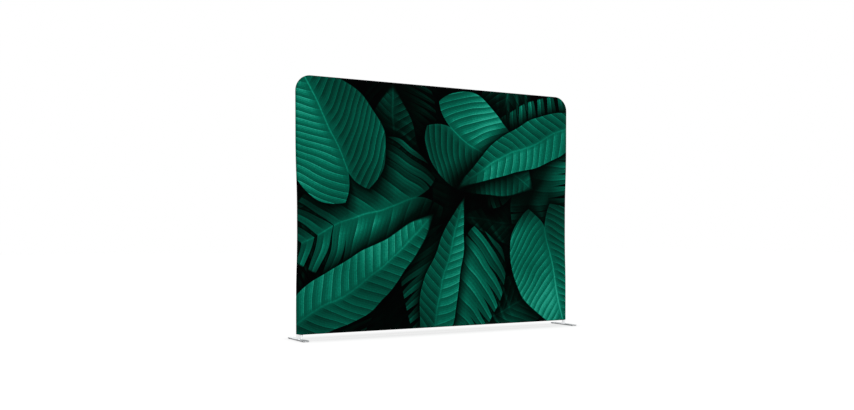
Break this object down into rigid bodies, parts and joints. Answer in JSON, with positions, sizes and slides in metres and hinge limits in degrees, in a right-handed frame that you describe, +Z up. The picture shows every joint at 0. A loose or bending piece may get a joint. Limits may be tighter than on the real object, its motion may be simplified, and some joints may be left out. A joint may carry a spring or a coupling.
{
  "type": "fabric room divider",
  "caption": "Free-standing fabric room divider: plug-together tube frame with rounded top corners, stretched printed sleeve zipped under the bottom rail, and flat foot plates that turn.",
  "frame": {"origin": "on the floor, under the middle of the panel", "axes": "+X along the panel to the right seen from the front, the front face looks to -Y, +Z up"},
  "size_m": [2.518, 0.3, 1.9643],
  "materials": {
    "tube": "satin, drawn along the tube",
    "ferrule": "plain mill",
    "button": "polished, nickel plated",
    "spring": "spring strip",
    "rivet": "plain",
    "foot": "satin, zinc plated",
    "foot_fixing": "zinc plated",
    "pad": "matt",
    "printed_sleeve": "knitted polyester with a dye-printed leaf pattern",
    "zip_tape": "woven tape",
    "zip_teeth": "nylon coil",
    "zip_metal": "nickel plated"
  },
  "bodies": {
    "frame": {"upright_lower_left": "tube", "upright_lower_right": "tube", "upright_upper_left": "tube", "upright_upper_right": "tube", "corner_tube_left": "tube", "corner_tube_right": "tube", "top_rail_left": "tube", "top_rail_right": "tube", "bottom_rail_left": "tube", "bottom_rail_right": "tube", "upright_ferrule_left": "ferrule", "upright_ferrule_right": "ferrule", "corner_lower_ferrule_left": "ferrule", "corner_lower_ferrule_right": "ferrule", "corner_upper_ferrule_left": "ferrule", "corner_upper_ferrule_right": "ferrule", "top_centre_ferrule": "ferrule", "bottom_centre_ferrule": "ferrule", "rail_spigot_left": "ferrule", "rail_spigot_right": "ferrule", "button_springs": "spring", "ferrule_rivets": "rivet", "sleeve_front": "printed_sleeve", "sleeve_back": "printed_sleeve", "zip_tape_front": "zip_tape", "zip_tape_back": "zip_tape", "zip_teeth_front": "zip_teeth", "zip_teeth_back": "zip_teeth", "zip_stops": "zip_metal"},
    "left_foot": {"foot_plate_left": "foot", "foot_spigot_left": "foot_fixing", "foot_screw_left": "foot_fixing", "foot_pads_left": "pad"},
    "right_foot": {"foot_plate_right": "foot", "foot_spigot_right": "foot_fixing", "foot_screw_right": "foot_fixing", "foot_pads_right": "pad"},
    "zip_slider_body": {"zip_slider": "zip_metal", "zip_pin": "zip_metal"},
    "zip_puller_body": {"zip_puller": "zip_metal"},
    "upright_button_left_body": {"upright_button_left": "button"},
    "upright_button_right_body": {"upright_button_right": "button"},
    "corner_lower_button_left_body": {"corner_lower_button_left": "button"},
    "corner_lower_button_right_body": {"corner_lower_button_right": "button"},
    "corner_upper_button_left_body": {"corner_upper_button_left": "button"},
    "corner_upper_button_right_body": {"corner_upper_button_right": "button"},
    "top_centre_button_body": {"top_centre_button": "button"},
    "bottom_centre_button_body": {"bottom_centre_button": "button"},
    "rail_button_left_body": {"rail_button_left": "button"},
    "rail_button_right_body": {"rail_button_right": "button"}
  },
  "joints": [
    {"name": "left_foot_turn", "type": "hinge", "parent": "frame", "child": "left_foot", "pos_m": [-1.234, 0, 0], "axis": [0, 0, 1], "continuous": true},
    {"name": "right_foot_turn", "type": "hinge", "parent": "frame", "child": "right_foot", "pos_m": [1.234, 0, 0], "axis": [0, 0, 1], "continuous": true},
    {"name": "zip_slide", "type": "slide", "parent": "frame", "child": "zip_slider_body", "axis": [1, 0, 0], "range_m": [0, 2.408]},
    {"name": "zip_puller_swing", "type": "hinge", "parent": "zip_slider_body", "child": "zip_puller_body", "pos_m": [-1.2044, 0, 0.0359], "axis": [0, 1, 0], "range_deg": [-85, 85]},
    {"name": "upright_button_left_press", "type": "slide", "parent": "frame", "child": "upright_button_left_body", "axis": [-1, 0, 0], "range_m": [0, 0.004], "stiffness_N_per_m": 800, "springref_m": -0.004, "deforming": ["button_springs"]},
    {"name": "upright_button_right_press", "type": "slide", "parent": "frame", "child": "upright_button_right_body", "axis": [1, 0, 0], "range_m": [0, 0.004], "stiffness_N_per_m": 800, "springref_m": -0.004, "deforming": ["button_springs"]},
    {"name": "corner_lower_button_left_press", "type": "slide", "parent": "frame", "child": "corner_lower_button_left_body", "axis": [-1, 0, 0], "range_m": [0, 0.004], "stiffness_N_per_m": 800, "springref_m": -0.004, "deforming": ["button_springs"]},
    {"name": "corner_lower_button_right_press", "type": "slide", "parent": "frame", "child": "corner_lower_button_right_body", "axis": [1, 0, 0], "range_m": [0, 0.004], "stiffness_N_per_m": 800, "springref_m": -0.004, "deforming": ["button_springs"]},
    {"name": "corner_upper_button_left_press", "type": "slide", "parent": "frame", "child": "corner_upper_button_left_body", "axis": [0, 0, 1], "range_m": [0, 0.004], "stiffness_N_per_m": 800, "springref_m": -0.004, "deforming": ["button_springs"]},
    {"name": "corner_upper_button_right_press", "type": "slide", "parent": "frame", "child": "corner_upper_button_right_body", "axis": [0, 0, 1], "range_m": [0, 0.004], "stiffness_N_per_m": 800, "springref_m": -0.004, "deforming": ["button_springs"]},
    {"name": "top_centre_button_press", "type": "slide", "parent": "frame", "child": "top_centre_button_body", "axis": [0, 0, 1], "range_m": [0, 0.004], "stiffness_N_per_m": 800, "springref_m": -0.004, "deforming": ["button_springs"]},
    {"name": "bottom_centre_button_press", "type": "slide", "parent": "frame", "child": "bottom_centre_button_body", "axis": [0, 0, -1], "range_m": [0, 0.004], "stiffness_N_per_m": 800, "springref_m": -0.004, "deforming": ["button_springs"]},
    {"name": "rail_button_left_press", "type": "slide", "parent": "frame", "child": "rail_button_left_body", "axis": [0, 0, -1], "range_m": [0, 0.004], "stiffness_N_per_m": 800, "springref_m": -0.004, "deforming": ["button_springs"]},
    {"name": "rail_button_right_press", "type": "slide", "parent": "frame", "child": "rail_button_right_body", "axis": [0, 0, -1], "range_m": [0, 0.004], "stiffness_N_per_m": 800, "springref_m": -0.004, "deforming": ["button_springs"]}
  ]
}
